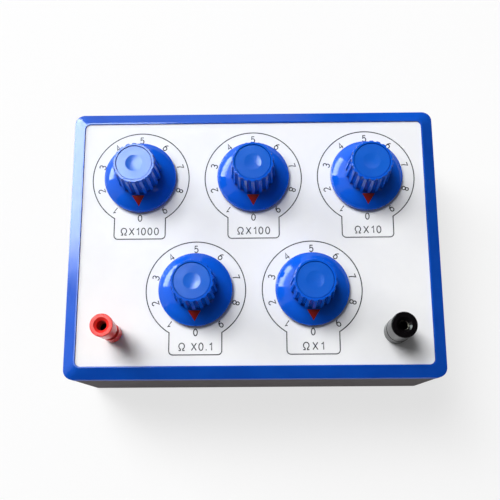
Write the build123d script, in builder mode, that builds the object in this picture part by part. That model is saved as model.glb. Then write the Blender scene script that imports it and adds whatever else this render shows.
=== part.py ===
from build123d import *
import os
from math import atan2, cos, degrees, radians, sin

os.makedirs("parts", exist_ok=True)

# Resistance decade box: five stud switches under a printed panel, and two binding posts.
# X is the long side, the binding posts are on the -Y side, and Z = 0 is the surface it stands on.
# All sizes are in millimetres.

# Case
case_length = 189.4
case_width = 139.8
rim_width = 6.3
case_corner = 5.0
panel_top = 72.0
foot_drop = 3.5
lid_skirt_bottom = 63.0
lid_wall = 2.2
deck_thickness = 2.5
rim_lip = 0.8
rim_drop = 3.0
rim_flat = 0.6
case_inset = 0.1
case_draft = 0.2
case_wall = 3.2
case_floor = 3.0
case_edge = 2.0
tongue_height = 3.0
tongue_gap = 0.2

# Printed panel
panel_length = case_length - 2 * rim_width
panel_width = case_width - 2 * rim_width
panel_thickness = 1.5
panel_corner = 2.6
panel_gap = 0.15

# Corner screws, bosses and feet
boss_inset = 11.5
boss_radius = 5.5
screw_radius = 1.7
screw_clearance = 0.2
screw_bite = 8.0
screw_head_radius = 3.4
screw_head_height = 2.4
head_bore_radius = 3.9
screw_seat = 45.0
boss_top = 57.8
post_gap = 0.1
foot_radius = 7.0
foot_taper = 0.8
foot_recess = 1.2
foot_gap = 0.15
foot_stem_gap = 0.2
foot_stem = 6.0
rib_thickness = 1.8
rib_height = 5.0
floor_root = 0.5
screw_end_gap = 0.6

# Dials, three along the panel and two rows near its quarter lines
dial_margin = 1.8
back_row_shift = 1.4
front_row_shift = 5.85
dial_pitch = (panel_length - dial_margin) / 3
back_row_y = panel_width / 4 + back_row_shift
front_row_y = front_row_shift - panel_width / 4
positions = 10
step = 360.0 / positions
first_stud = -90.0

# Knobs, heights above the panel
knob_height = 24.8
skirt_radius = 18.5
skirt_lift = 1.0
skirt_edge = 2.6
skirt_edge_round = 0.6
skirt_rise = 8.6
skirt_wall = 1.7
dome_bulge = 0.7
dome_under_grip = 0.6
flutes = 18
flute_share = 0.62
grip_base_radius = 11.5
grip_top_radius = 10.4
flute_depth = 0.9
flute_top_depth = 0.7
grip_round = 0.6
cap_sunk = 0.35
knob_cap_radius = 8.8
knob_cap_thickness = 1.6
knob_cap_chamfer = 0.2
knob_cap_dish = 0.25
knob_cap_dish_radius = 4.2
cap_gap = 0.2
nut_room_radius = 9.4
nut_room_height = 6.2
pointer_base = 11.5
pointer_tip = 16.3
pointer_width = 6.2
pointer_depth = 0.7
pointer_proud = 0.08
pointer_gap = 0.05
pocket_reach = 1.0

# Spindle and its bush
spindle_radius = 3.0
spindle_fit = 0.04
knob_fit = 0.03
spindle_in_knob = 17.0
spindle_flat = 2.2
spindle_end = 0.6
shoulder_gap = 0.6
end_gap = 0.3
end_chamfer = 0.4
pilot_radius = 2.4
pilot_fit = 0.05
bush_radius = 4.5
bush_hole_gap = 0.2
bush_above_panel = 4.2
nut_flange_radius = 7.5
nut_flange = 0.8
nut_height = 3.0
nut_flats = 12.0
thread_fit = 0.05

# Stud switch under the lid
frame_radius = 23.5
frame_plate = 2.0
pillar_count = 3
pillar_radius = 2.3
pillar_edge = 0.8
pillar_turn = 30.0
rivet_radius = 1.5
rivet_head = 0.9
board_drop = 18.0
board_thickness = 2.5
stud_head_radius = 2.2
stud_gap = 0.9
stud_head = 1.6
stud_shank_radius = 1.25
stud_tail_radius = 0.8
stud_tail = 4.5
board_hole_gap = 0.05
ring_inner = 6.4
ring_outer = 8.6
ring_height = 1.2
ring_tail_angle = 54.0
brush_gap = 0.1

# Wiper
hub_radius = 6.0
hub_height = 9.0
hub_above_board = 5.5
collar_radius = 4.6
collar_gap = 0.1
index_radius = 9.0
index_thickness = 2.4
notch_radius = 1.5
notch_depth = 0.8
arm_width = 4.4
arm_thickness = 0.8
arm_root = 3.6
toe_length = 2.6
arm_flat = 5.4
arm_bend = 0.5
brush_overlap = 0.2
brush_leg = 0.9
brush_length = 1.9
spring_width = 5.0
spring_thickness = 0.6
spring_foot = 6.0
nose_radius = 1.3
nose_gap = 0.15

# Resistor bobbins
bobbin_radius = 1.7
bobbin_end_gap = 1.1
flange_radius = 2.1
flange_thickness = 0.5
lead_radius = 0.4
lead_gap = 0.05
bobbin_drop = 2.6

# Binding posts: cap radius, head radius, collar radius and how far the cap is unscrewed
post_side_inset = 18.2
post_front_inset = 16.2
post_x = panel_length / 2 - post_side_inset
post_y = post_front_inset - panel_width / 2
posts = {
    "red": {"x": -post_x, "cap": 4.9, "head": 5.4, "collar": 4.5, "lift": 6.5},
    "black": {"x": post_x, "cap": 6.1, "head": 6.2, "collar": 6.2, "lift": 0.0},
}
collar_height = 8.5
collar_spigot_radius = 3.9
spigot_gap = 0.15
clamp_thickness = 0.8
clamp_inset = 0.5
cap_height = 13.7
cap_head_height = 3.4
cap_mouth_radius = 2.35
cap_countersink = 1.3
cap_edge = 0.4
stem_radius = 3.0
stem_above_panel = 19.8
stem_below_panel = 20.0
stem_flat = 2.75
flat_below_clamp = 0.5
socket_radius = 2.0
socket_bottom = 2.0
insulator_radius = 7.0
insulator_thickness = 2.0
post_nut_flats = 10.0
post_nut_height = 3.0
lug_thickness = 0.8
lug_radius = 5.0
lug_length = 12.0
lug_width = 3.6

# Wires
wire_radius = 0.6
wire_drop = 3.5
wire_bend = 2.5
wire_step = 1.6

# Heights worked out from the sizes above
deck_top = panel_top - panel_thickness
deck_bottom = deck_top - deck_thickness
rim_top = panel_top + rim_lip
rim_edge = rim_top - rim_drop
recess_length = panel_length + 2 * panel_gap
recess_width = panel_width + 2 * panel_gap
recess_corner = panel_corner + panel_gap
board_top = deck_bottom - board_drop
board_bottom = board_top - board_thickness
frame_bottom = deck_bottom - frame_plate
hub_bottom = board_top + hub_above_board
hub_top = hub_bottom + hub_height
tail_bottom = board_bottom - stud_tail
spindle_bottom = board_bottom - spindle_end
spindle_shoulder = board_top + ring_height + shoulder_gap

# Rings of the stud switch, from the edge of its frame inwards
board_radius = frame_radius
pillar_ring = frame_radius - pillar_edge - pillar_radius
stud_ring = pillar_ring - pillar_radius - stud_gap - stud_head_radius
stud_chord = 2 * stud_ring * sin(radians(step / 2))
bobbin_length = stud_chord - 2 * stud_tail_radius - 2 * bobbin_end_gap

dials = {
    "x1000": (-dial_pitch, back_row_y),
    "x100": (0.0, back_row_y),
    "x10": (dial_pitch, back_row_y),
    "x0_1": (-dial_pitch / 2, front_row_y),
    "x1": (dial_pitch / 2, front_row_y),
}
boss_places = [
    (sx * (case_length / 2 - boss_inset), sy * (case_width / 2 - boss_inset))
    for sx in (-1, 1)
    for sy in (-1, 1)
]
post_places = [(post["x"], post_y) for post in posts.values()]


def save(shape, name):
    shape.label = name
    export_step(shape, f"parts/{name}.step")


def polar(radius, angle):
    return radius * cos(radians(angle)), radius * sin(radians(angle))


ring_tail = polar((ring_inner + ring_outer) / 2, ring_tail_angle)

# Lid: bevelled rim with mitred corners, recessed deck, skirt and screw posts
with BuildPart() as top_cover:
    with BuildSketch(Plane.XY.offset(lid_skirt_bottom)):
        RectangleRounded(case_length, case_width, case_corner)
    extrude(amount=rim_edge - lid_skirt_bottom)
    with BuildSketch(Plane.XY.offset(rim_edge)):
        RectangleRounded(case_length, case_width, case_corner)
    with BuildSketch(Plane.XY.offset(rim_top)):
        RectangleRounded(
            recess_length + 2 * rim_flat, recess_width + 2 * rim_flat, recess_corner + rim_flat
        )
    loft(ruled=True)
    with BuildSketch(Plane.XY.offset(deck_top)):
        RectangleRounded(recess_length, recess_width, recess_corner)
    extrude(amount=rim_top - deck_top, mode=Mode.SUBTRACT)
    with BuildSketch(Plane.XY.offset(lid_skirt_bottom)):
        RectangleRounded(
            case_length - 2 * lid_wall, case_width - 2 * lid_wall, case_corner - lid_wall / 2
        )
    extrude(amount=deck_bottom - lid_skirt_bottom, mode=Mode.SUBTRACT)
    with BuildSketch(Plane.XY.offset(boss_top + post_gap)):
        with Locations(*boss_places):
            Circle(boss_radius)
    extrude(amount=deck_bottom - boss_top - post_gap)
    with BuildSketch(Plane.XY.offset(boss_top + post_gap)):
        with Locations(*boss_places):
            Circle(screw_radius + thread_fit)
    extrude(amount=screw_bite + screw_end_gap, mode=Mode.SUBTRACT)
    with BuildSketch(Plane.XY.offset(deck_bottom)):
        with Locations(*dials.values()):
            Circle(bush_radius + bush_hole_gap)
        with Locations(*post_places):
            Circle(collar_spigot_radius + spigot_gap)
    extrude(amount=deck_thickness, mode=Mode.SUBTRACT)
save(top_cover.part, "top_cover")

# Printed panel, a flat sheet in the recess
with BuildPart() as front_panel:
    with BuildSketch(Plane.XY.offset(deck_top)):
        RectangleRounded(panel_length, panel_width, panel_corner)
        with Locations(*dials.values()):
            Circle(bush_radius + bush_hole_gap, mode=Mode.SUBTRACT)
        with Locations(*post_places):
            Circle(collar_spigot_radius + spigot_gap, mode=Mode.SUBTRACT)
    extrude(amount=panel_thickness)
save(front_panel.part, "front_panel")

# Lower case: drafted tub with a tongue, corner bosses, floor ribs and recesses for the feet
outer_length = case_length - 2 * case_inset
outer_width = case_width - 2 * case_inset
tub_length = outer_length - 2 * case_wall
tub_width = outer_width - 2 * case_wall
inner_corner = case_corner - case_wall / 2
with BuildPart() as lower_case:
    with BuildSketch(Plane.XY.offset(foot_drop)):
        RectangleRounded(outer_length - 2 * case_draft, outer_width - 2 * case_draft, case_corner)
    with BuildSketch(Plane.XY.offset(lid_skirt_bottom)):
        RectangleRounded(outer_length, outer_width, case_corner)
    loft(ruled=True)
    fillet(lower_case.edges().group_by(Axis.Z)[0], case_edge)
    with BuildSketch(Plane.XY.offset(lid_skirt_bottom)):
        RectangleRounded(
            case_length - 2 * lid_wall - 2 * tongue_gap,
            case_width - 2 * lid_wall - 2 * tongue_gap,
            case_corner - lid_wall / 2 - tongue_gap,
        )
    extrude(amount=tongue_height)
    with BuildSketch(Plane.XY.offset(foot_drop + case_floor)):
        RectangleRounded(tub_length - 2 * case_draft, tub_width - 2 * case_draft, inner_corner)
    with BuildSketch(Plane.XY.offset(lid_skirt_bottom + tongue_height)):
        RectangleRounded(tub_length, tub_width, inner_corner)
    loft(ruled=True, mode=Mode.SUBTRACT)
    with BuildSketch(Plane.XY.offset(foot_drop + case_floor - floor_root)):
        with Locations(*boss_places):
            Circle(boss_radius)
    extrude(amount=boss_top - foot_drop - case_floor + floor_root)
    with BuildSketch(Plane.XY.offset(foot_drop + case_floor - floor_root)):
        with GridLocations(tub_length / 3, 0, 2, 1):
            Rectangle(rib_thickness, tub_width - 2 * case_draft)
        Rectangle(tub_length - 2 * case_draft, rib_thickness)
    extrude(amount=rib_height + floor_root)
    with BuildSketch(Plane.XY.offset(foot_drop)):
        with Locations(*boss_places):
            Circle(foot_radius + foot_gap)
    extrude(amount=foot_recess, mode=Mode.SUBTRACT)
    with BuildSketch(Plane.XY.offset(foot_drop)):
        with Locations(*boss_places):
            Circle(head_bore_radius)
    extrude(amount=screw_seat - foot_drop, mode=Mode.SUBTRACT)
    with BuildSketch(Plane.XY.offset(foot_drop)):
        with Locations(*boss_places):
            Circle(screw_radius + screw_clearance)
    extrude(amount=boss_top - foot_drop, mode=Mode.SUBTRACT)
save(lower_case.part, "lower_case")

# Push-in rubber feet, whose stems close the screw wells
with BuildPart() as rubber_feet:
    with BuildSketch(Plane.XY):
        with Locations(*boss_places):
            Circle(foot_radius - foot_taper)
    extrude(amount=foot_drop, taper=-degrees(atan2(foot_taper, foot_drop)))
    with BuildSketch(Plane.XY.offset(foot_drop)):
        with Locations(*boss_places):
            Circle(foot_radius)
    extrude(amount=foot_recess)
    with BuildSketch(Plane.XY.offset(foot_drop + foot_recess)):
        with Locations(*boss_places):
            Circle(head_bore_radius - foot_stem_gap)
    extrude(amount=foot_stem)
save(rubber_feet.part, "rubber_feet")

# Case screws, up through the bosses into the lid's posts
with BuildPart() as case_screws:
    with BuildSketch(Plane.XY.offset(screw_seat - screw_head_height)):
        with Locations(*boss_places):
            Circle(screw_head_radius)
    extrude(amount=screw_head_height)
    with BuildSketch(Plane.XY.offset(screw_seat)):
        with Locations(*boss_places):
            Circle(screw_radius)
    extrude(amount=boss_top + post_gap + screw_bite - screw_seat)
save(case_screws.part, "case_screws")

# Skirt line, as radius and height above the panel
edge_top = skirt_lift + skirt_edge
dome_foot = (skirt_radius - skirt_edge_round, edge_top)
dome_head = (grip_base_radius - flute_depth - dome_under_grip, skirt_rise)
dome_middle = (
    (dome_foot[0] + dome_head[0]) / 2,
    (dome_foot[1] + dome_head[1]) / 2 + dome_bulge,
)


def shifted(point, rise):
    return point[0], point[1] + rise


# Red pointer, let into the domed skirt and following its curve
with BuildPart() as pointer:
    with BuildSketch(Plane.XZ):
        with BuildLine():
            ThreePointArc(
                shifted(dome_foot, pointer_proud),
                shifted(dome_middle, pointer_proud),
                shifted(dome_head, pointer_proud),
            )
            Line(shifted(dome_head, pointer_proud), shifted(dome_head, -pointer_depth))
            ThreePointArc(
                shifted(dome_head, -pointer_depth),
                shifted(dome_middle, -pointer_depth),
                shifted(dome_foot, -pointer_depth),
            )
            Line(shifted(dome_foot, -pointer_depth), shifted(dome_foot, pointer_proud))
        make_face()
    revolve(axis=Axis.Z)
    with BuildSketch(Plane.XY):
        with BuildLine():
            Polyline(
                (-pointer_width / 2, -pointer_base),
                (0, -pointer_tip),
                (pointer_width / 2, -pointer_base),
                close=True,
            )
        make_face()
    extrude(amount=knob_height, mode=Mode.INTERSECT)

# Its pocket in the skirt, a little wider all round
with BuildPart() as pointer_pocket:
    with BuildSketch(Plane.XZ):
        with BuildLine():
            ThreePointArc(
                shifted(dome_foot, -pointer_depth - pointer_gap),
                shifted(dome_middle, -pointer_depth - pointer_gap),
                shifted(dome_head, -pointer_depth - pointer_gap),
            )
            Polyline(
                shifted(dome_head, -pointer_depth - pointer_gap),
                shifted(dome_head, pocket_reach),
                (dome_foot[0], dome_head[1] + pocket_reach),
                shifted(dome_foot, -pointer_depth - pointer_gap),
            )
        make_face()
    revolve(axis=Axis.Z)
    with BuildSketch(Plane.XY):
        with BuildLine():
            Polyline(
                (-pointer_width / 2, -pointer_base),
                (0, -pointer_tip),
                (pointer_width / 2, -pointer_base),
                close=True,
            )
        make_face()
        offset(amount=pointer_gap)
    extrude(amount=knob_height, mode=Mode.INTERSECT)


def flute_outline(radius, depth):
    """Circle with shallow round flutes, their ridges rounded over."""
    flute_radius = flute_share * radius * sin(radians(180 / flutes))
    Circle(radius)
    with PolarLocations(radius + flute_radius - depth, flutes):
        Circle(flute_radius, mode=Mode.SUBTRACT)


# Knob: fluted tapering grip on a domed skirt
grip_bottom = edge_top
cap_top = knob_height - cap_sunk
with BuildPart() as knob:
    with BuildSketch(Plane.XY.offset(grip_bottom)):
        flute_outline(grip_base_radius, flute_depth)
    with BuildSketch(Plane.XY.offset(knob_height)):
        flute_outline(grip_top_radius, flute_top_depth)
    loft(ruled=True)
    with BuildSketch(Plane.XZ):
        with BuildLine():
            Line((0, grip_bottom), (grip_base_radius + grip_round, grip_bottom))
            Line((grip_base_radius + grip_round, grip_bottom), (grip_top_radius, knob_height - grip_round))
            RadiusArc(
                (grip_top_radius, knob_height - grip_round),
                (grip_top_radius - grip_round, knob_height),
                -grip_round,
            )
            Line((grip_top_radius - grip_round, knob_height), (0, knob_height))
            Line((0, knob_height), (0, grip_bottom))
        make_face()
    revolve(axis=Axis.Z, mode=Mode.INTERSECT)
    with BuildSketch(Plane.XZ):
        with BuildLine():
            Polyline(
                (0, skirt_lift),
                (skirt_radius, skirt_lift),
                (skirt_radius, edge_top - skirt_edge_round),
            )
            RadiusArc(
                (skirt_radius, edge_top - skirt_edge_round),
                dome_foot,
                -skirt_edge_round,
            )
            ThreePointArc(dome_foot, dome_middle, dome_head)
            Polyline(dome_head, (0, skirt_rise), (0, skirt_lift))
        make_face()
    revolve(axis=Axis.Z)
    with BuildSketch(Plane.XZ):
        with BuildLine():
            Polyline(
                (0, skirt_lift),
                (skirt_radius - skirt_wall, skirt_lift),
                (skirt_radius - skirt_wall, edge_top - skirt_wall),
                (nut_room_radius, nut_room_height),
                (0, nut_room_height),
                close=True,
            )
        make_face()
    revolve(axis=Axis.Z, mode=Mode.SUBTRACT)
    with BuildSketch(Plane.XY.offset(nut_room_height)):
        Circle(spindle_radius + knob_fit)
        with Locations((0, spindle_flat + knob_fit + spindle_radius)):
            Rectangle(4 * spindle_radius, 2 * spindle_radius, mode=Mode.SUBTRACT)
    extrude(amount=spindle_in_knob + end_gap - nut_room_height, mode=Mode.SUBTRACT)
    with BuildSketch(Plane.XY.offset(cap_top - knob_cap_thickness)):
        Circle(knob_cap_radius + cap_gap)
    extrude(amount=knob_cap_thickness + cap_sunk, mode=Mode.SUBTRACT)
    add(pointer_pocket.part, mode=Mode.SUBTRACT)

# Disc in the top of the grip, with a shallow dish in its middle
with BuildPart() as knob_cap:
    with BuildSketch(Plane.XZ):
        with BuildLine():
            Polyline(
                (0, cap_top - knob_cap_dish),
                (0, cap_top - knob_cap_thickness),
                (knob_cap_radius, cap_top - knob_cap_thickness),
                (knob_cap_radius, cap_top - knob_cap_chamfer),
                (knob_cap_radius - knob_cap_chamfer, cap_top),
                (knob_cap_dish_radius, cap_top),
            )
            RadiusArc(
                (knob_cap_dish_radius, cap_top),
                (0, cap_top - knob_cap_dish),
                (knob_cap_dish_radius**2 + knob_cap_dish**2) / (2 * knob_cap_dish),
            )
        make_face()
    revolve(axis=Axis.Z)

# Spindle: pilot in the board, flat for the knob
spindle_top = panel_top + spindle_in_knob
with BuildPart() as shaft:
    with BuildSketch(Plane.XY.offset(spindle_bottom)):
        Circle(pilot_radius)
    extrude(amount=spindle_shoulder - spindle_bottom)
    with BuildSketch(Plane.XY.offset(spindle_shoulder)):
        Circle(spindle_radius)
    extrude(amount=spindle_top - spindle_shoulder)
    with BuildSketch(Plane.XY.offset(panel_top + nut_room_height)):
        with Locations((0, spindle_flat + spindle_radius)):
            Rectangle(4 * spindle_radius, 2 * spindle_radius)
    extrude(amount=spindle_in_knob - nut_room_height, mode=Mode.SUBTRACT)
    chamfer(shaft.edges().group_by(Axis.Z)[-1], end_chamfer)

# Flanged nut that clamps bush, lid and panel
with BuildPart() as switch_nut:
    with BuildSketch(Plane.XY.offset(panel_top)):
        Circle(nut_flange_radius)
        Circle(bush_radius + thread_fit, mode=Mode.SUBTRACT)
    extrude(amount=nut_flange)
    with BuildSketch(Plane.XY.offset(panel_top + nut_flange)):
        RegularPolygon(nut_flats / 2, 6, major_radius=False)
        Circle(bush_radius + thread_fit, mode=Mode.SUBTRACT)
    extrude(amount=nut_height - nut_flange)

# Switch frame: bush, mounting plate and pillars riveted over the board
with BuildPart() as switch_frame:
    with BuildSketch(Plane.XY.offset(frame_bottom)):
        Circle(frame_radius)
    extrude(amount=frame_plate)
    with BuildSketch(Plane.XY.offset(deck_bottom)):
        Circle(bush_radius)
    extrude(amount=panel_top + bush_above_panel - deck_bottom)
    with BuildSketch(Plane.XY.offset(frame_bottom)):
        with PolarLocations(pillar_ring, pillar_count, start_angle=pillar_turn):
            Circle(pillar_radius)
    extrude(amount=board_top - frame_bottom)
    with BuildSketch(Plane.XY.offset(board_top)):
        with PolarLocations(pillar_ring, pillar_count, start_angle=pillar_turn):
            Circle(rivet_radius)
    extrude(amount=-board_thickness)
    with BuildSketch(Plane.XY.offset(board_bottom)):
        with PolarLocations(pillar_ring, pillar_count, start_angle=pillar_turn):
            Circle(pillar_radius)
    extrude(amount=-rivet_head)
    with BuildSketch(Plane.XY.offset(frame_bottom)):
        Circle(spindle_radius + spindle_fit)
    extrude(amount=panel_top + bush_above_panel - frame_bottom, mode=Mode.SUBTRACT)

# Insulating board that carries the contacts
with BuildPart() as contact_board:
    with BuildSketch(Plane.XY.offset(board_bottom)):
        Circle(board_radius)
        Circle(pilot_radius + pilot_fit, mode=Mode.SUBTRACT)
        with PolarLocations(pillar_ring, pillar_count, start_angle=pillar_turn):
            Circle(rivet_radius + board_hole_gap, mode=Mode.SUBTRACT)
        with PolarLocations(stud_ring, positions, start_angle=first_stud):
            Circle(stud_shank_radius + board_hole_gap, mode=Mode.SUBTRACT)
        with Locations(ring_tail):
            Circle(stud_tail_radius + board_hole_gap, mode=Mode.SUBTRACT)
    extrude(amount=board_thickness)

# Ten studs and the collector ring of one board
with BuildPart() as contacts:
    with BuildSketch(Plane.XY.offset(board_top)):
        with PolarLocations(stud_ring, positions, start_angle=first_stud):
            Circle(stud_head_radius)
    extrude(amount=stud_head)
    with BuildSketch(Plane.XY.offset(board_bottom)):
        with PolarLocations(stud_ring, positions, start_angle=first_stud):
            Circle(stud_shank_radius)
    extrude(amount=board_thickness)
    with BuildSketch(Plane.XY.offset(tail_bottom)):
        with PolarLocations(stud_ring, positions, start_angle=first_stud):
            Circle(stud_tail_radius)
    extrude(amount=stud_tail)
    with BuildSketch(Plane.XY.offset(board_top)):
        Circle(ring_outer)
        Circle(ring_inner, mode=Mode.SUBTRACT)
    extrude(amount=ring_height)
    with BuildSketch(Plane.XY.offset(tail_bottom)):
        with Locations(ring_tail):
            Circle(stud_tail_radius)
    extrude(amount=board_top - tail_bottom)

# Wiper: hub with an index rim, contact arm to the studs and brush to the ring
arm_foot = board_top + stud_head + brush_gap
brush_foot = board_top + ring_height + brush_gap
toe_start = stud_ring - toe_length / 2
with BuildPart() as wiper:
    with BuildSketch(Plane.XY.offset(hub_bottom)):
        Circle(hub_radius)
    extrude(amount=hub_height)
    with BuildSketch(Plane.XY.offset(hub_top - index_thickness)):
        Circle(index_radius)
        with PolarLocations(index_radius + notch_radius - notch_depth, positions, start_angle=90):
            Circle(notch_radius, mode=Mode.SUBTRACT)
    extrude(amount=index_thickness)
    with BuildSketch(Plane.XY.offset(hub_top)):
        Circle(collar_radius)
    extrude(amount=frame_bottom - collar_gap - hub_top)
    with BuildSketch(Plane.YZ.offset(-arm_width / 2)):
        with BuildLine():
            Polyline(
                (-arm_root, hub_bottom),
                (-arm_root - arm_flat, hub_bottom),
                (-toe_start, arm_foot),
                (-toe_start - toe_length, arm_foot),
                (-toe_start - toe_length, arm_foot + arm_thickness),
                (-toe_start - arm_bend, arm_foot + arm_thickness),
                (-arm_root - arm_flat - arm_bend, hub_bottom + arm_thickness),
                (-arm_root, hub_bottom + arm_thickness),
                close=True,
            )
        make_face()
    extrude(amount=arm_width)
    with BuildSketch(Plane.YZ.offset(-arm_width / 2)):
        with BuildLine():
            Polyline(
                (arm_root, hub_bottom),
                (ring_inner - brush_overlap, hub_bottom),
                (ring_inner - brush_overlap, brush_foot + arm_thickness),
                (ring_inner, brush_foot),
                (ring_inner + brush_length, brush_foot),
                (ring_inner + brush_length, brush_foot + arm_thickness),
                (ring_inner + brush_leg, brush_foot + arm_thickness),
                (ring_inner + brush_leg, hub_bottom + arm_thickness),
                (arm_root, hub_bottom + arm_thickness),
                close=True,
            )
        make_face()
    extrude(amount=arm_width)
    with BuildSketch(Plane.XY.offset(brush_foot)):
        Circle(spindle_radius + knob_fit)
    extrude(amount=frame_bottom - brush_foot, mode=Mode.SUBTRACT)

# Detent spring: foot under the plate, blade down, nose at the index rim
nose_tip = index_radius + nose_gap
blade_y = nose_tip + nose_radius
nose_height = hub_top - index_thickness / 2
with BuildPart() as detent_spring:
    with BuildSketch(Plane.YZ.offset(-spring_width / 2)):
        with BuildLine():
            Polyline(
                (blade_y, frame_bottom),
                (blade_y + spring_foot, frame_bottom),
                (blade_y + spring_foot, frame_bottom - spring_thickness),
                (blade_y + spring_thickness, frame_bottom - spring_thickness),
                (blade_y + spring_thickness, nose_height - nose_radius),
                (blade_y, nose_height - nose_radius),
            )
            ThreePointArc(
                (blade_y, nose_height - nose_radius),
                (nose_tip, nose_height),
                (blade_y, nose_height + nose_radius),
            )
            Line((blade_y, nose_height + nose_radius), (blade_y, frame_bottom))
        make_face()
    extrude(amount=spring_width)

# One resistor bobbin, lying along X at the origin
lead_length = stud_chord - 2 * stud_tail_radius - 2 * lead_gap
with BuildPart() as bobbin:
    with BuildSketch(Plane.YZ.offset(-bobbin_length / 2)):
        Circle(bobbin_radius)
    extrude(amount=bobbin_length)
    with BuildSketch(Plane.YZ.offset(-bobbin_length / 2)):
        Circle(flange_radius)
    extrude(amount=flange_thickness)
    with BuildSketch(Plane.YZ.offset(bobbin_length / 2)):
        Circle(flange_radius)
    extrude(amount=-flange_thickness)
    with BuildSketch(Plane.YZ.offset(-lead_length / 2)):
        Circle(lead_radius)
    extrude(amount=lead_length)

# The nine bobbins of one decade, each between neighbouring stud tails
bobbin_ring = stud_ring * cos(radians(step / 2))
with BuildPart() as resistors:
    for gap in range(positions - 1):
        angle = first_stud - (gap + 0.5) * step
        x, y = polar(bobbin_ring, angle)
        add(bobbin.part.moved(Location((x, y, board_bottom - bobbin_drop), (0, 0, angle + 90))))

# Every switch, from the pieces made once above
nuts = []
contact_sets = []
springs = []
for decade, (x, y) in dials.items():
    over_panel = Location((x, y, panel_top))
    in_box = Location((x, y, 0))
    save(knob.part.moved(over_panel), f"knob_{decade}")
    save(knob_cap.part.moved(over_panel), f"knob_cap_{decade}")
    save(pointer.part.moved(over_panel), f"pointer_{decade}")
    save(shaft.part.moved(in_box), f"shaft_{decade}")
    save(wiper.part.moved(in_box), f"wiper_{decade}")
    save(switch_frame.part.moved(in_box), f"switch_frame_{decade}")
    save(contact_board.part.moved(in_box), f"contact_board_{decade}")
    save(resistors.part.moved(in_box), f"resistors_{decade}")
    nuts += switch_nut.part.moved(in_box).solids()
    contact_sets += contacts.part.moved(in_box).solids()
    springs += detent_spring.part.moved(in_box).solids()
save(Compound(nuts), "switch_nuts")
save(Compound(contact_sets), "switch_contacts")
save(Compound(springs), "detent_springs")

# Binding posts
clamp_bottom = panel_top + collar_height
washer_top = deck_bottom - insulator_thickness
upper_nut = washer_top - post_nut_height
lug_bottom = upper_nut - lug_thickness
lower_nut = lug_bottom - post_nut_height
for colour, post in posts.items():
    place = (post["x"], post_y)

    # Insulating collar with a spigot through panel and lid
    with BuildPart() as post_collar:
        with BuildSketch(Plane.XY.offset(deck_bottom)):
            with Locations(place):
                Circle(collar_spigot_radius)
        extrude(amount=panel_top - deck_bottom)
        with BuildSketch(Plane.XY.offset(panel_top)):
            with Locations(place):
                Circle(post["collar"])
        extrude(amount=collar_height)
        fillet(post_collar.edges().group_by(Axis.Z)[-1], cap_edge)
        with BuildSketch(Plane.XY.offset(deck_bottom)):
            with Locations(place):
                Circle(stem_radius + thread_fit)
        extrude(amount=panel_top + collar_height - deck_bottom, mode=Mode.SUBTRACT)
    save(post_collar.part, f"{colour}_post_collar")

    # Threaded stem with two flats and the 4 mm plug socket
    with BuildPart() as post_stem:
        with BuildSketch(Plane.XY.offset(panel_top - stem_below_panel)):
            with Locations(place):
                Circle(stem_radius)
        extrude(amount=stem_below_panel + stem_above_panel)
        chamfer(post_stem.edges().group_by(Axis.Z)[0], end_chamfer)
        with BuildSketch(Plane.XY.offset(clamp_bottom - flat_below_clamp)):
            with Locations(place):
                Circle(2 * stem_radius)
                Rectangle(2 * stem_flat, 4 * stem_radius, mode=Mode.SUBTRACT)
        extrude(
            amount=panel_top + stem_above_panel - clamp_bottom + flat_below_clamp,
            mode=Mode.SUBTRACT,
        )
        with BuildSketch(Plane.XY.offset(panel_top + socket_bottom)):
            with Locations(place):
                Circle(socket_radius)
        extrude(amount=stem_above_panel - socket_bottom, mode=Mode.SUBTRACT)
    save(post_stem.part, f"{colour}_post_stem")

    # Clamp washer, keyed on the flats and captive under the cap
    with BuildPart() as post_clamp:
        with BuildSketch(Plane.XY.offset(clamp_bottom + post["lift"])):
            with Locations(place):
                Circle(post["collar"] - clamp_inset)
        extrude(amount=clamp_thickness)
        with BuildSketch(Plane.XY.offset(clamp_bottom + post["lift"])):
            with Locations(place):
                Circle(stem_radius + thread_fit)
                Rectangle(2 * (stem_flat + thread_fit), 4 * stem_radius, mode=Mode.INTERSECT)
        extrude(amount=clamp_thickness, mode=Mode.SUBTRACT)
    save(post_clamp.part, f"{colour}_post_clamp")

    # Cap: wide head, body, countersunk mouth for the plug, thread bore below
    cap_bottom = clamp_bottom + clamp_thickness + post["lift"]
    head_bottom = cap_bottom + cap_height - cap_head_height
    with BuildPart() as post_cap:
        with BuildSketch(Plane.XY.offset(cap_bottom)):
            with Locations(place):
                Circle(post["cap"])
        extrude(amount=cap_height)
        with BuildSketch(Plane.XY.offset(head_bottom)):
            with Locations(place):
                Circle(post["head"])
        extrude(amount=cap_head_height)
        fillet(post_cap.edges().group_by(Axis.Z)[-1], cap_edge)
        with BuildSketch(Plane.XY.offset(cap_bottom)):
            with Locations(place):
                Circle(stem_radius + thread_fit)
        extrude(
            amount=stem_above_panel - collar_height - clamp_thickness + end_gap,
            mode=Mode.SUBTRACT,
        )
        with BuildSketch(Plane.XY.offset(cap_bottom)):
            with Locations(place):
                Circle(cap_mouth_radius)
        extrude(amount=cap_height, mode=Mode.SUBTRACT)
        chamfer(
            post_cap.edges().filter_by(GeomType.CIRCLE).group_by(Axis.Z)[-1].sort_by(
                SortBy.RADIUS
            )[0],
            cap_countersink,
        )
    save(post_cap.part, f"{colour}_post_cap")

# Fibre washers under the lid
with BuildPart() as post_insulators:
    with BuildSketch(Plane.XY.offset(washer_top)):
        with Locations(*post_places):
            Circle(insulator_radius)
            Circle(stem_radius + thread_fit, mode=Mode.SUBTRACT)
    extrude(amount=insulator_thickness)
save(post_insulators.part, "post_insulating_washers")

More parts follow.
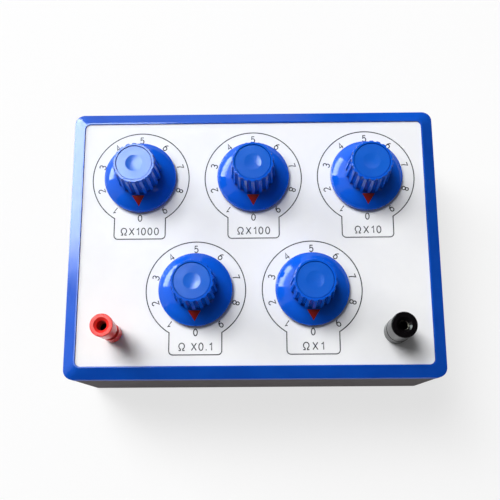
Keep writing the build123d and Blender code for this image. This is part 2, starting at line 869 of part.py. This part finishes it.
# Two nuts on each stem, with the solder lug between them
with BuildPart() as post_nuts:
    for nut_bottom in (upper_nut, lower_nut):
        with BuildSketch(Plane.XY.offset(nut_bottom)):
            with Locations(*post_places):
                RegularPolygon(post_nut_flats / 2, 6, major_radius=False)
                Circle(stem_radius + thread_fit, mode=Mode.SUBTRACT)
        extrude(amount=post_nut_height)
save(post_nuts.part, "post_nuts")

with BuildPart() as solder_lugs:
    with BuildSketch(Plane.XY.offset(lug_bottom)):
        for x, y in post_places:
            towards = -1 if x > 0 else 1
            with Locations((x, y)):
                Circle(lug_radius)
            with Locations((x + towards * lug_length / 2, y)):
                SlotOverall(lug_length + lug_width, lug_width)
        with Locations(*post_places):
            Circle(stem_radius + thread_fit, mode=Mode.SUBTRACT)
    extrude(amount=lug_thickness)
save(solder_lugs.part, "solder_lugs")

# Wires in series: red lug, each decade from its collector ring to its first stud, black lug
order = ["x1000", "x100", "x10", "x1", "x0_1"]
ring_ends = [(dials[d][0] + ring_tail[0], dials[d][1] + ring_tail[1]) for d in order]
stud_ends = [(dials[d][0], dials[d][1] - stud_ring) for d in order]
lug_ends = [(x + (lug_length if x < 0 else -lug_length), y) for x, y in post_places]
starts = [(lug_ends[0], lug_bottom)] + [(end, tail_bottom) for end in stud_ends]
ends = [(end, tail_bottom) for end in ring_ends] + [(lug_ends[1], lug_bottom)]
with BuildPart() as link_wires:
    for number, ((start, start_z), (end, end_z)) in enumerate(zip(starts, ends)):
        level = tail_bottom - wire_drop - number * wire_step
        with BuildLine() as route:
            FilletPolyline(
                (*start, start_z),
                (*start, level),
                (*end, level),
                (*end, end_z),
                radius=wire_bend,
            )
        with BuildSketch(Plane((*start, start_z), z_dir=(0, 0, -1))):
            Circle(wire_radius)
        sweep(path=route.wires()[0])
save(link_wires.part, "link_wires")
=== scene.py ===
import bmesh
import bpy
from math import atan2, cos, degrees, radians, sin
from mathutils import Matrix, Vector


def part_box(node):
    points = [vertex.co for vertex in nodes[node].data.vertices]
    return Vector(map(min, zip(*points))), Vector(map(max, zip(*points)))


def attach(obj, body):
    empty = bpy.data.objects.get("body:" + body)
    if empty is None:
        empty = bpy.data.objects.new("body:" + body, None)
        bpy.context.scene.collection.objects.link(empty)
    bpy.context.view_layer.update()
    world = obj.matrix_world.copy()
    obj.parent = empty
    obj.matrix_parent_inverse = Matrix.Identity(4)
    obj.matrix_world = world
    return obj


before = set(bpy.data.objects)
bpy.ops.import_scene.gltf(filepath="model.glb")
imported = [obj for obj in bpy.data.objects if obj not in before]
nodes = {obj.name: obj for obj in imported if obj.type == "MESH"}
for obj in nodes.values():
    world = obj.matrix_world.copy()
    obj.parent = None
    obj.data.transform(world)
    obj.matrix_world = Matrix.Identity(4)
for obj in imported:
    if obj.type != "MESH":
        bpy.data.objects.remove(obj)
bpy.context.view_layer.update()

MM = 0.001
DECADES = ("x1000", "x100", "x10", "x0_1", "x1")
POSTS = ("red", "black")
PANEL_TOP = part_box("front_panel")[1].z
PANEL_MIDDLE = Vector((0, 0, PANEL_TOP))
RIM_DROP = 3.0 * MM
RIM_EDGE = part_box("top_cover")[1].z - RIM_DROP


def centre_of(node):
    """Middle of a CAD node's box."""
    low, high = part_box(node)
    return (low + high) / 2


DIAL_CENTRES = {decade: centre_of(f"knob_{decade}") for decade in DECADES}

# Materials

PLASTIC_IOR = 1.47
# Sizes of the noise that varies the shade, the gloss and the slow sink marks
SHADE_PATCH = 18 * MM
GLOSS_PATCH = 6 * MM
SINK_PATCH = 22 * MM
# Radii between which a stem's colour goes from the painted shade inside its socket to its nickel outside
BORE_EDGE = (2.1 * MM, 2.3 * MM)
# Half the height over which the lid goes from rough wall to glossy rim
WALL_BLEND = 0.1 * MM
# Ambient occlusion at which the painted shade is full, and at which it has faded out
PAINTED_SHADE_OPENNESS = (0.25, 0.95)
# Colour sockets of a Mix node
MIX_FIRST, MIX_SECOND, MIX_RESULT = 6, 7, 2


def srgb(red, green, blue):
    """Linear colour from 0-255 display values."""
    linear = []
    for value in (red, green, blue):
        part = value / 255
        linear.append(part / 12.92 if part <= 0.04045 else ((part + 0.055) / 1.055) ** 2.4)
    return (*linear, 1.0)


def bright_rays(tree):
    """One for camera, glossy and transmission rays, which see plain white, and zero for the rest."""
    path = tree.nodes.new("ShaderNodeLightPath")
    total = path.outputs["Is Camera Ray"]
    for kind in ("Is Glossy Ray", "Is Transmission Ray"):
        either = tree.nodes.new("ShaderNodeMath")
        either.operation = "ADD"
        either.use_clamp = True
        tree.links.new(total, either.inputs[0])
        tree.links.new(path.outputs[kind], either.inputs[1])
        total = either.outputs[0]
    return total


class Nodes:
    """Short names for the nodes of one material."""

    def __init__(self, name):
        self.material = bpy.data.materials.new(name)
        self.material.use_nodes = True
        self.tree = self.material.node_tree
        self.shader = self.tree.nodes["Principled BSDF"]
        self.place = self.add("ShaderNodeTexCoord").outputs["Object"]

    def add(self, kind, **values):
        """New node of that kind with those settings."""
        node = self.tree.nodes.new(kind)
        for key, value in values.items():
            setattr(node, key, value)
        return node

    def join(self, output, socket):
        self.tree.links.new(output, socket)

    def noise(self, size, detail=3.0):
        """Noise whose grains are about size metres across."""
        texture = self.add("ShaderNodeTexNoise")
        texture.inputs["Scale"].default_value = 1 / size
        texture.inputs["Detail"].default_value = detail
        self.join(self.place, texture.inputs["Vector"])
        return texture.outputs["Fac"]

    def spread(self, value, low, high, start=0.3, end=0.7):
        """Low where the value is at start, high where it is at end, and a straight blend between."""
        span = self.add("ShaderNodeMapRange")
        for key, number in zip(("From Min", "From Max", "To Min", "To Max"), (start, end, low, high)):
            span.inputs[key].default_value = number
        self.join(value, span.inputs["Value"])
        return span.outputs["Result"]

    def blend(self, value, first, second):
        """Colour from first to second, each a constant or a socket."""
        mix = self.add("ShaderNodeMix", data_type="RGBA")
        self.join(value, mix.inputs["Factor"])
        for key, colour in ((MIX_FIRST, first), (MIX_SECOND, second)):
            if isinstance(colour, tuple):
                mix.inputs[key].default_value = colour
            else:
                self.join(colour, mix.inputs[key])
        return mix.outputs[MIX_RESULT]

    def bumps(self, *layers):
        """Stacked bumps, each a (value, height in metres) pair."""
        normal = None
        for value, height in layers:
            bump = self.add("ShaderNodeBump")
            bump.inputs["Strength"].default_value = 1.0
            bump.inputs["Distance"].default_value = height
            self.join(value, bump.inputs["Height"])
            if normal:
                self.join(normal, bump.inputs["Normal"])
            normal = bump.outputs["Normal"]
        self.join(normal, self.shader.inputs["Normal"])


def plastic_nodes(
    name, colour, dark, roughness,
    uneven=0.2, shine=0.5, grain=0.25, grain_height=0.004, wave=0.0, metallic=0.0,
):
    """Moulded plastic or plain metal: two close shades, uneven gloss, fine grain and a slow sink wave.

    The grain's size and height and the wave's height are in millimetres.
    """
    kit = Nodes(name)
    shade = kit.spread(kit.noise(SHADE_PATCH, 5.0), 0.0, 1.0)
    kit.join(kit.blend(shade, colour, dark), kit.shader.inputs["Base Color"])
    gloss = kit.spread(kit.noise(GLOSS_PATCH, 6.0), roughness * (1 - uneven), roughness * (1 + uneven))
    kit.join(gloss, kit.shader.inputs["Roughness"])
    kit.shader.inputs["IOR"].default_value = PLASTIC_IOR
    kit.shader.inputs["Specular IOR Level"].default_value = shine
    kit.shader.inputs["Metallic"].default_value = metallic
    layers = [(kit.noise(grain * MM, 2.0), grain_height * MM)]
    if wave:
        layers.append((kit.noise(SINK_PATCH, 1.0), wave * MM))
    kit.bumps(*layers)
    return kit


def plastic(name, colour, dark, roughness, **finish):
    """Material with the nodes of plastic_nodes and nothing else."""
    return plastic_nodes(name, colour, dark, roughness, **finish).material


def plated_stem(name, axis):
    """Nickel outside; inside the socket round that axis a painted shade, dark as a deep hole."""
    kit = plastic_nodes(name, srgb(214, 206, 190), srgb(196, 188, 172), 0.24, metallic=1.0)
    plated = kit.shader.inputs["Base Color"].links[0].from_socket
    flat = kit.add("ShaderNodeVectorMath", operation="MULTIPLY")
    flat.inputs[1].default_value = (1.0, 1.0, 0.0)
    kit.join(kit.place, flat.inputs[0])
    away = kit.add("ShaderNodeVectorMath", operation="DISTANCE")
    away.inputs[1].default_value = (axis.x, axis.y, 0.0)
    kit.join(flat.outputs[0], away.inputs[0])
    outside = kit.spread(away.outputs["Value"], 0.0, 1.0, *BORE_EDGE)
    # Painted shade: the socket's inside takes a near-black colour that stands in for the shade of a deep
    # hole
    painted_bore_shade = srgb(34, 30, 27)
    kit.join(kit.blend(outside, painted_bore_shade, plated), kit.shader.inputs["Base Color"])
    return kit.material


def lid_plastic(name, colour, dark, roughness, wall_roughness, **finish):
    """Glossy plastic whose upright walls, below the rim's edge, keep the mould's fine texture."""
    kit = plastic_nodes(name, colour, dark, roughness, **finish)
    polished = kit.shader.inputs["Roughness"].links[0].from_socket
    height = kit.add("ShaderNodeSeparateXYZ")
    kit.join(kit.place, height.inputs[0])
    above = kit.spread(height.outputs["Z"], 0.0, 1.0, RIM_EDGE - WALL_BLEND, RIM_EDGE + WALL_BLEND)
    mixed = kit.add("ShaderNodeMix")
    kit.join(above, mixed.inputs["Factor"])
    mixed.inputs["A"].default_value = wall_roughness
    kit.join(polished, mixed.inputs["B"])
    kit.join(mixed.outputs["Result"], kit.shader.inputs["Roughness"])
    return kit.material


def grooved_plastic(name, colour, dark, painted_groove_shade, roughness, reach, **finish):
    """Moulded plastic with painted shade: it darkens to a third shade, a painted shadow, where walls
    stand within reach of each other.
    """
    kit = plastic_nodes(name, colour, dark, roughness, **finish)
    surface = kit.shader.inputs["Base Color"].links[0].from_socket
    # Painted shade: ambient occlusion finds grooves and corners, which take the shaded colour
    corner = kit.add("ShaderNodeAmbientOcclusion", samples=8, only_local=True)
    corner.inputs["Distance"].default_value = reach
    unshaded = kit.spread(corner.outputs["AO"], 0.0, 1.0, *PAINTED_SHADE_OPENNESS)
    kit.join(kit.blend(unshaded, painted_groove_shade, surface), kit.shader.inputs["Base Color"])
    return kit.material


case_blue = lid_plastic(
    "case_blue_plastic", srgb(12, 86, 202), srgb(8, 76, 189), 0.16, 0.62, shine=0.4, wave=0.05
)
# The knobs' third colour, a dark blue, is painted shade in their flutes and where the grip meets the
# skirt
knob_blue = grooved_plastic(
    "knob_blue_plastic_painted_shade", srgb(14, 98, 226), srgb(9, 88, 214), srgb(4, 24, 92), 0.09, 6.0 * MM, shine=0.3
)
disc_blue = plastic("disc_blue_plastic", srgb(22, 102, 214), srgb(16, 90, 204), 0.18, shine=0.4)
panel_white = plastic(
    "panel_white_print", srgb(247, 247, 248), srgb(243, 243, 245), 0.6, shine=0.3, grain=0.4
)
case_dark = plastic(
    "case_dark_plastic", srgb(64, 54, 57), srgb(60, 51, 54), 0.6,
    uneven=0.05, shine=0.12, grain=0.5, grain_height=0.03,
)
# The pointers' red paint is darkened with painted shade, as they lie in the grips' shadow
pointer_red = plastic("pointer_red_paint_and_painted_shade", srgb(172, 24, 20), srgb(148, 17, 15), 0.35)
post_red = plastic("post_red_plastic", srgb(248, 58, 50), srgb(236, 42, 38), 0.2, shine=0.35)
post_black = plastic("post_black_plastic", srgb(13, 10, 12), srgb(9, 7, 9), 0.14, shine=0.2)
ink_grey = plastic("ink_grey_print", srgb(16, 17, 28), srgb(24, 25, 36), 0.6, shine=0.2)
foot_rubber = plastic("foot_rubber", srgb(34, 33, 34), srgb(28, 27, 28), 0.7, grain_height=0.02)
steel = plastic("steel", srgb(190, 188, 186), srgb(172, 171, 170), 0.32, metallic=1.0)
nickel = plastic("nickel", srgb(214, 206, 190), srgb(196, 188, 172), 0.2, metallic=1.0)
brass = plastic("brass", srgb(212, 176, 104), srgb(192, 150, 82), 0.3, metallic=1.0)
copper_tin = plastic("tinned_copper", srgb(216, 200, 178), srgb(196, 176, 150), 0.3, metallic=1.0)
fibre_red = plastic("fibre_red", srgb(140, 62, 44), srgb(120, 50, 36), 0.7)
board_brown = plastic("board_brown_laminate", srgb(132, 86, 48), srgb(108, 66, 34), 0.45)
bobbin_tan = plastic("bobbin_tan", srgb(176, 138, 88), srgb(150, 112, 66), 0.5)

finishes = {
    "top_cover": case_blue,
    "front_panel": panel_white,
    "lower_case": case_dark,
    "rubber_feet": foot_rubber,
    "case_screws": steel,
    "switch_nuts": nickel,
    "switch_contacts": brass,
    "detent_springs": steel,
    "post_insulating_washers": fibre_red,
    "post_nuts": nickel,
    "solder_lugs": copper_tin,
    "link_wires": copper_tin,
}
for decade in DECADES:
    finishes[f"knob_{decade}"] = knob_blue
    finishes[f"knob_cap_{decade}"] = disc_blue
    finishes[f"pointer_{decade}"] = pointer_red
    finishes[f"shaft_{decade}"] = steel
    finishes[f"wiper_{decade}"] = brass
    finishes[f"switch_frame_{decade}"] = steel
    finishes[f"contact_board_{decade}"] = board_brown
    finishes[f"resistors_{decade}"] = bobbin_tan
for post, coloured in zip(POSTS, (post_red, post_black)):
    finishes[f"{post}_post_collar"] = coloured
    finishes[f"{post}_post_cap"] = coloured
    finishes[f"{post}_post_stem"] = plated_stem(f"{post}_stem_nickel_and_painted_shade", centre_of(f"{post}_post_stem"))
    finishes[f"{post}_post_clamp"] = nickel
for node, finish in finishes.items():
    nodes[node].data.materials.clear()
    nodes[node].data.materials.append(finish)

# Rounding of edges that turn by more than the sharp angle, in degrees
WELD_REACH = 0.002 * MM
SHARP_ANGLE = 30
KNOB_ROUNDING = 0.35 * MM
LID_ROUNDING = 0.3 * MM


def soften(node, width):
    """Small rounding over the sharp edges of a CAD node."""
    weld = nodes[node].modifiers.new("weld", "WELD")
    weld.merge_threshold = WELD_REACH
    bevel = nodes[node].modifiers.new("bevel", "BEVEL")
    bevel.limit_method = "ANGLE"
    bevel.angle_limit = radians(SHARP_ANGLE)
    bevel.width = width
    bevel.segments = 3
    bevel.harden_normals = True


for decade in DECADES:
    soften(f"knob_{decade}", KNOB_ROUNDING)
soften("top_cover", LID_ROUNDING)

# Printed dials: a line round each knob that runs into a tab, ten digits and a legend

LINE_WIDTH = 0.52 * MM
INK_HEIGHT = 0.02 * MM
RING_RADIUS = 25.0 * MM
TAB_HALF_WIDTH = 13.1 * MM
TAB_BOTTOM = -32.3 * MM
TAB_CORNER = 2.0 * MM
DIGIT_RADIUS = 21.2 * MM
DIGIT_HEIGHT = 3.3 * MM
# Degrees from digit to digit, and from the top of the dial to its zero
DIGIT_STEP = 36
ZERO_ANGLE = 180
LEGEND_HEIGHT = 3.6 * MM
LEGEND_Y = -28.3 * MM
# Each dial's legend and its width
LEGENDS = {
    "x1000": ("ΩX1000", 19.2 * MM),
    "x100": ("ΩX100", 16.4 * MM),
    "x10": ("ΩX10", 13.2 * MM),
    "x0_1": ("Ω X0.1", 16.5 * MM),
    "x1": ("ΩX1", 10.2 * MM),
}


def arc(centre, radius, start, end, steps):
    """Points on an arc or on a part of an ellipse, angles in degrees."""
    across, up = radius if isinstance(radius, tuple) else (radius, radius)
    points = []
    for index in range(steps + 1):
        angle = radians(start + (end - start) * index / steps)
        points.append(Vector((centre[0] + across * cos(angle), centre[1] + up * sin(angle))))
    return points


def line(*points):
    """Corners of an open line."""
    return [Vector(point) for point in points]


# Each letter's strokes in a box one unit high, and the letter's width
LETTERS = {
    "0": (0.56, [arc((0.28, 0.5), (0.28, 0.5), 0, 360, 28)]),
    "1": (0.34, [line((0.02, 0.76), (0.2, 0.86), (0.3, 1.0), (0.3, 0.0))]),
    "2": (0.58, [arc((0.29, 0.71), (0.27, 0.29), 165, -38, 16) + line((0.01, 0.0), (0.58, 0.0))]),
    "3": (0.56, [
        arc((0.26, 0.755), (0.24, 0.245), 155, -90, 16) + arc((0.26, 0.27), (0.29, 0.27), 80, -155, 16),
    ]),
    "4": (0.6, [line((0.44, 0.0), (0.44, 1.0), (0.02, 0.3), (0.6, 0.3))]),
    "5": (0.56, [
        line((0.5, 1.0), (0.1, 1.0), (0.05, 0.52)) + arc((0.27, 0.33), (0.28, 0.33), 125, -150, 18),
    ]),
    "6": (0.56, [
        line((0.46, 0.97), (0.27, 0.9), (0.1, 0.7), (0.02, 0.45))
        + arc((0.28, 0.32), (0.27, 0.32), 170, 490, 24),
    ]),
    "7": (0.56, [line((0.0, 1.0), (0.56, 1.0), (0.3, 0.5), (0.2, 0.0))]),
    "8": (0.56, [
        arc((0.28, 0.76), (0.23, 0.24), -90, 270, 24) + arc((0.28, 0.26), (0.28, 0.26), 90, -270, 24),
    ]),
    "9": (0.56, [
        line((0.1, 0.03), (0.29, 0.1), (0.46, 0.3), (0.54, 0.55))
        + arc((0.28, 0.68), (0.27, 0.32), -10, 310, 24),
    ]),
    "X": (0.66, [line((0.0, 0.0), (0.66, 1.0)), line((0.0, 1.0), (0.66, 0.0))]),
    ".": (0.16, [line((0.08, 0.0), (0.08, 0.12))]),
    "Ω": (0.84, [
        line((0.0, 0.0), (0.26, 0.0), (0.26, 0.1))
        + arc((0.42, 0.58), (0.38, 0.42), 242, -62, 30)
        + line((0.58, 0.1), (0.58, 0.0), (0.84, 0.0)),
    ]),
    " ": (0.2, []),
}
LETTER_GAP = 0.26
STROKE = 0.5 * MM
# Strokes of one letter lie this far above each other, so that crossing ones share no plane
LAYER = 0.001 * MM
# Smallest cosine at a corner: sharper corners are cut short
SHARPEST = 0.6


def dial_outline():
    """Ring and tab as one closed line round the dial's centre."""
    tab_top = (RING_RADIUS**2 - TAB_HALF_WIDTH**2) ** 0.5
    join = -degrees(atan2(tab_top, TAB_HALF_WIDTH))
    points = arc((0, 0), RING_RADIUS, join, 180 - join, 120)
    corner = TAB_BOTTOM + TAB_CORNER
    inner = TAB_HALF_WIDTH - TAB_CORNER
    points += arc((-inner, corner), TAB_CORNER, 180, 270, 10)
    points += arc((inner, corner), TAB_CORNER, 270, 360, 10)
    return points


def ribbon(mesh, points, place, width, closed=False):
    """Flat line of that width through the points, placed by a matrix."""
    count = len(points)
    loops = ([], [])
    for index, point in enumerate(points):
        before = point - points[index - 1] if closed or index else points[1] - point
        after = points[(index + 1) % count] - point if closed or index < count - 1 else before
        before.normalize()
        after.normalize()
        across = Vector((-(before.y + after.y), before.x + after.x)).normalized()
        across *= 1 / max(SHARPEST, across.dot(Vector((-before.y, before.x))))
        for loop, side in zip(loops, (-0.5, 0.5)):
            spot = point + across * width * side
            loop.append(mesh.verts.new(place @ Vector((spot.x, spot.y, 0.0))))
    for index in range(count if closed else count - 1):
        after = (index + 1) % count
        mesh.faces.new((loops[0][index], loops[0][after], loops[1][after], loops[1][index]))


def lettering(mesh, words, height, place, width=None):
    """Words drawn with the letters' strokes, centred on a placing matrix, spread to a given width."""
    natural = sum(LETTERS[letter][0] for letter in words) + LETTER_GAP * (len(words) - 1)
    gap = LETTER_GAP
    if width:
        gap += (width / height - natural) / (len(words) - 1)
        natural = width / height
    left = -natural / 2
    for letter in words:
        wide, strokes = LETTERS[letter]
        for layer, stroke in enumerate(strokes):
            points = [
                Vector(((left + point.x) * height, (point.y - 0.5) * height)) for point in stroke
            ]
            lifted = place @ Matrix.Translation((0, 0, layer * LAYER))
            ribbon(mesh, points, lifted, STROKE)
        left += wide + gap


def mesh_object(name, mesh, material):
    """Object of one material from a bmesh, which is used up."""
    data = bpy.data.meshes.new(name)
    mesh.to_mesh(data)
    mesh.free()
    data.materials.append(material)
    made = bpy.data.objects.new(name, data)
    bpy.context.scene.collection.objects.link(made)
    return made


for decade, middle in DIAL_CENTRES.items():
    dial = Matrix.Translation((middle.x, middle.y, PANEL_TOP + INK_HEIGHT))
    print_mesh = bmesh.new()
    ribbon(print_mesh, dial_outline(), dial, LINE_WIDTH, closed=True)
    for digit in range(10):
        turn = Matrix.Rotation(radians(-DIGIT_STEP * digit - ZERO_ANGLE), 4, "Z")
        place = dial @ turn @ Matrix.Translation((0, DIGIT_RADIUS, 0))
        lettering(print_mesh, str(digit), DIGIT_HEIGHT, place)
    words, width = LEGENDS[decade]
    place = dial @ Matrix.Translation((0, LEGEND_Y, 0))
    lettering(print_mesh, words, LEGEND_HEIGHT, place, width)
    dial_print = mesh_object(f"dial_print_{decade}", print_mesh, ink_grey)
    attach(dial_print, "case")

# Camera fitted to the five printed rings of the photograph

camera_data = bpy.data.cameras.new("camera")
camera_data.lens = 56.124
camera_data.sensor_width = 36.0
camera_data.clip_start = 0.01
camera = bpy.data.objects.new("camera", camera_data)
bpy.context.scene.collection.objects.link(camera)
camera.matrix_world = Matrix((
    (0.99988217, 0.00873701, 0.01262156, 3.123 * MM),
    (-0.00547851, 0.9711829, -0.23827243, -99.684 * MM),
    (-0.01433963, 0.23817521, 0.97111634, 456.557 * MM),
    (0.0, 0.0, 0.0, 1.0),
))
bpy.context.scene.camera = camera

# Floor, lamps, cards and world

MATT_ROUGHNESS = 0.9
FLOOR_HALF = 6.0
FLOOR_PATCH = 0.4
# Share of plain white near the object and far from it, and the distances between which it grows
FLOOR_GLOW = (0.72, 1.0)
FLOOR_FADE = (0.5, 2.5)


def floor_material():
    """White floor whose lit share, which holds the shadows, fades with the distance from the object."""
    kit = Nodes("floor_white")
    shade = kit.spread(kit.noise(FLOOR_PATCH), 0.0, 1.0)
    kit.join(kit.blend(shade, srgb(250, 250, 250), srgb(247, 247, 247)), kit.shader.inputs["Base Color"])
    kit.shader.inputs["Roughness"].default_value = MATT_ROUGHNESS
    kit.shader.inputs["Specular IOR Level"].default_value = 0.1
    glow = kit.add("ShaderNodeEmission")
    glow.inputs["Color"].default_value = (1.0, 1.0, 1.0, 1.0)
    away = kit.add("ShaderNodeVectorMath", operation="LENGTH")
    kit.join(kit.place, away.inputs[0])
    far = kit.spread(away.outputs["Value"], *FLOOR_GLOW, *FLOOR_FADE)
    share = kit.add("ShaderNodeMath", operation="MULTIPLY")
    kit.join(bright_rays(kit.tree), share.inputs[0])
    kit.join(far, share.inputs[1])
    mixed = kit.add("ShaderNodeMixShader")
    kit.join(share.outputs[0], mixed.inputs[0])
    kit.join(kit.shader.outputs["BSDF"], mixed.inputs[1])
    kit.join(glow.outputs[0], mixed.inputs[2])
    kit.join(mixed.outputs[0], kit.tree.nodes["Material Output"].inputs["Surface"])
    return kit.material


floor_mesh = bmesh.new()
bmesh.ops.create_grid(floor_mesh, x_segments=1, y_segments=1, size=FLOOR_HALF)
floor = mesh_object("floor", floor_mesh, floor_material())


def toward(azimuth, elevation, distance):
    """Place at that bearing from the middle of the panel."""
    level = distance * cos(radians(elevation))
    return Vector((
        level * cos(radians(azimuth)),
        level * sin(radians(azimuth)),
        PANEL_TOP + distance * sin(radians(elevation)),
    ))


def turned_from(place):
    """Rotation that turns a lamp or card at that place to the middle of the panel."""
    return (PANEL_MIDDLE - place).to_track_quat("-Z", "Y")


def softbox(name, place, width, height, power):
    """Lamp that lights the object; glossy surfaces show the cards in its stead."""
    lamp = bpy.data.lights.new(name, "AREA")
    lamp.shape = "RECTANGLE"
    lamp.size = width
    lamp.size_y = height
    lamp.energy = power
    made = bpy.data.objects.new(name, lamp)
    made.location = place
    made.rotation_euler = turned_from(place).to_euler()
    made.visible_glossy = False
    bpy.context.scene.collection.objects.link(made)


softbox("key_softbox", toward(131, 61, 6.0), 2.2, 3.2, 300.0)
softbox("window_softbox", toward(148, 20, 5.5), 2.9, 2.1, 160.0)

CARD_PATCH = 0.3
CARD_TINT = (0.87, 1.0, 0.98, 1.0)
# Each glow is that of a card's lower and upper part, which a fade's two heights part
KEY_GLOW = (21.0, 21.0)
SKYLIGHT_GLOW = (8.0, 8.0)
WINDOW_GLOW = (19.0, 3.5)
WINDOW_FADE = (0.75, 1.0)
WINDOW_DISTANCE = 2.0
WINDOW_HEIGHTS = (0.25, 3.0)
SKYLIGHT_HEIGHT = 2.45
CEILING_HEIGHT = 2.5


def card(name, corners, glow=(0.0, 0.0), fade=(1.0, 2.0)):
    """Card that only glossy surfaces show, dark unless it has a glow."""
    sheet = bmesh.new()
    sheet.faces.new([sheet.verts.new(corner) for corner in corners])
    kit = Nodes(name)
    shade = kit.spread(kit.noise(CARD_PATCH), 0.0, 1.0)
    kit.join(kit.blend(shade, srgb(30, 30, 32), srgb(24, 24, 26)), kit.shader.inputs["Base Color"])
    kit.shader.inputs["Roughness"].default_value = MATT_ROUGHNESS
    kit.shader.inputs["Emission Color"].default_value = CARD_TINT
    height = kit.add("ShaderNodeSeparateXYZ")
    kit.join(kit.place, height.inputs[0])
    strength = kit.spread(height.outputs["Z"], *glow, *fade)
    kit.join(strength, kit.shader.inputs["Emission Strength"])
    made = mesh_object(name, sheet, kit.material)
    made.visible_camera = False
    made.visible_diffuse = False
    made.visible_shadow = False


def facing(place, width, height):
    """Corners of a rectangle at that place, turned to the middle of the panel."""
    turn = turned_from(place)
    signs = ((-0.5, -0.5), (0.5, -0.5), (0.5, 0.5), (-0.5, 0.5))
    return [place + turn @ Vector((across * width, up * height, 0)) for across, up in signs]


def wall(start, end, top, foot=0.0):
    """Corners of an upright rectangle over the line from start to end."""
    return ((*start, foot), (*end, foot), (*end, top), (*start, top))


def ceiling(low, high, height):
    """Corners of a level rectangle between two opposite ones."""
    return ((*low, height), (high[0], low[1], height), (*high, height), (low[0], high[1], height))


def bearing(azimuth):
    """Place of the window's edge at that bearing from the middle."""
    return WINDOW_DISTANCE * cos(radians(azimuth)), WINDOW_DISTANCE * sin(radians(azimuth))


window_foot, window_top = WINDOW_HEIGHTS
window = wall(bearing(167), bearing(125), window_top, window_foot)
card("window_card", window, WINDOW_GLOW, WINDOW_FADE)
card("key_card", facing(toward(131, 59.5, 6.0), 2.2, 2.9), KEY_GLOW)
skylight = ceiling((-0.95, 0.05), (-0.42, 0.52), SKYLIGHT_HEIGHT)
card("skylight_card", skylight, SKYLIGHT_GLOW)
card("right_card", wall((1.1, -0.5), (1.1, 1.2), 2.4))
card("front_card", wall((-1.1, -0.5), (1.1, -0.5), 1.4))
card("back_card", wall((0.1, 1.2), (1.1, 1.2), 1.2))
card("ceiling_card", ceiling((-0.34, -0.9), (1.1, 1.2), CEILING_HEIGHT))

# The world's strength as light on the object, and as the white that bright rays see
WORLD_LEVEL = 0.11
WHITE_LEVEL = 1.0

world = bpy.data.worlds.new("studio")
world.use_nodes = True
bpy.context.scene.world = world
sky = world.node_tree
background = sky.nodes["Background"]
background.inputs["Color"].default_value = (1.0, 1.0, 1.0, 1.0)
level = sky.nodes.new("ShaderNodeMapRange")
level.inputs["To Min"].default_value = WORLD_LEVEL
level.inputs["To Max"].default_value = WHITE_LEVEL
sky.links.new(bright_rays(sky), level.inputs["Value"])
sky.links.new(level.outputs["Result"], background.inputs["Strength"])

bpy.context.scene.view_settings.view_transform = "Standard"
